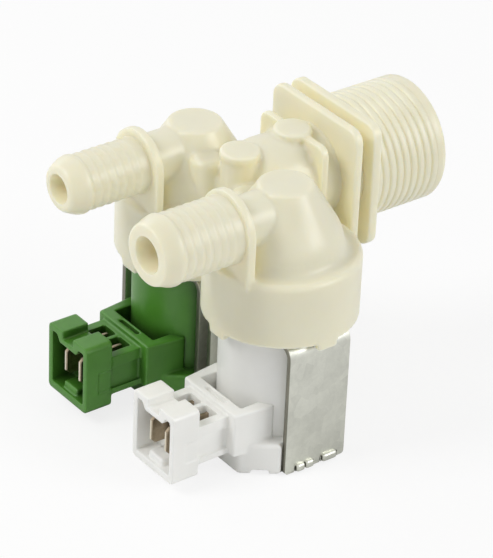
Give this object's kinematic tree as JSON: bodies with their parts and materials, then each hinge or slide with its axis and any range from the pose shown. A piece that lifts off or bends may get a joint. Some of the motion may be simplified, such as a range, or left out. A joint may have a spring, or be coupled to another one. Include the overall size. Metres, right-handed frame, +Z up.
{
  "type": "washing_machine_inlet_valve",
  "caption": "Two-way washing machine inlet valve: threaded water inlet, moulded nylon body, two coils in steel yokes and two ridged hose spouts",
  "frame": {"origin": "middle of the footprint of the whole valve, on the plane that the yokes stand on", "axes": "+Z up along the coil axes, +Y towards the threaded inlet, +X towards the white coil"},
  "size_m": [0.062, 0.0764, 0.0633],
  "materials": {
    "nylon": "natural ivory nylon, as moulded, slightly translucent",
    "acetal": "moulded, satin",
    "bobbin_nylon": "glass filled, matt",
    "white_coil_resin": "white thermoplastic polyester, satin",
    "green_coil_resin": "green thermoplastic polyester, satin",
    "steel": "zinc plated sheet, faintly mottled",
    "tinned_brass": "tin plated",
    "copper": "enamelled copper wire",
    "rubber": "moulded, matt"
  },
  "bodies": {
    "root": {"valve_body": "nylon", "inlet_filter": "acetal", "flow_regulator_carrier": "acetal", "flow_regulator_washer": "rubber", "white_coil_case": "white_coil_resin", "white_coil_bobbin": "bobbin_nylon", "white_coil_winding": "copper", "white_terminal_left": "tinned_brass", "white_terminal_right": "tinned_brass", "white_yoke_frame": "steel", "white_yoke_plate": "steel", "white_flux_sleeve_upper": "steel", "white_flux_sleeve_lower": "steel", "white_guide_tube": "acetal", "white_plunger_spring": "steel", "white_diaphragm": "rubber", "green_coil_case": "green_coil_resin", "green_coil_bobbin": "bobbin_nylon", "green_coil_winding": "copper", "green_terminal_left": "tinned_brass", "green_terminal_right": "tinned_brass", "green_yoke_frame": "steel", "green_yoke_plate": "steel", "green_flux_sleeve_upper": "steel", "green_flux_sleeve_lower": "steel", "green_guide_tube": "acetal", "green_plunger_spring": "steel", "green_diaphragm": "rubber"},
    "white_plunger_body": {"white_plunger": "steel", "white_plunger_seal": "rubber"},
    "white_insert_body": {"white_diaphragm_insert": "acetal"},
    "green_plunger_body": {"green_plunger": "steel", "green_plunger_seal": "rubber"},
    "green_insert_body": {"green_diaphragm_insert": "acetal"}
  },
  "joints": [
    {"name": "white_plunger_slide", "type": "slide", "parent": "root", "child": "white_plunger_body", "axis": [0, 0, -1], "range_m": [0, 0.0025], "stiffness_N_per_m": 300, "springref_m": -0.002, "deforming": ["white_plunger_spring"]},
    {"name": "white_diaphragm_lift", "type": "slide", "parent": "root", "child": "white_insert_body", "axis": [0, 0, -1], "range_m": [0, 0.0018]},
    {"name": "green_plunger_slide", "type": "slide", "parent": "root", "child": "green_plunger_body", "axis": [0, 0, -1], "range_m": [0, 0.0025], "stiffness_N_per_m": 300, "springref_m": -0.002, "deforming": ["green_plunger_spring"]},
    {"name": "green_diaphragm_lift", "type": "slide", "parent": "root", "child": "green_insert_body", "axis": [0, 0, -1], "range_m": [0, 0.0018]}
  ],
  "couplings": [
    {"joint": "white_diaphragm_lift", "follows": "white_plunger_slide", "ratio": 0.72},
    {"joint": "green_diaphragm_lift", "follows": "green_plunger_slide", "ratio": 0.72}
  ]
}
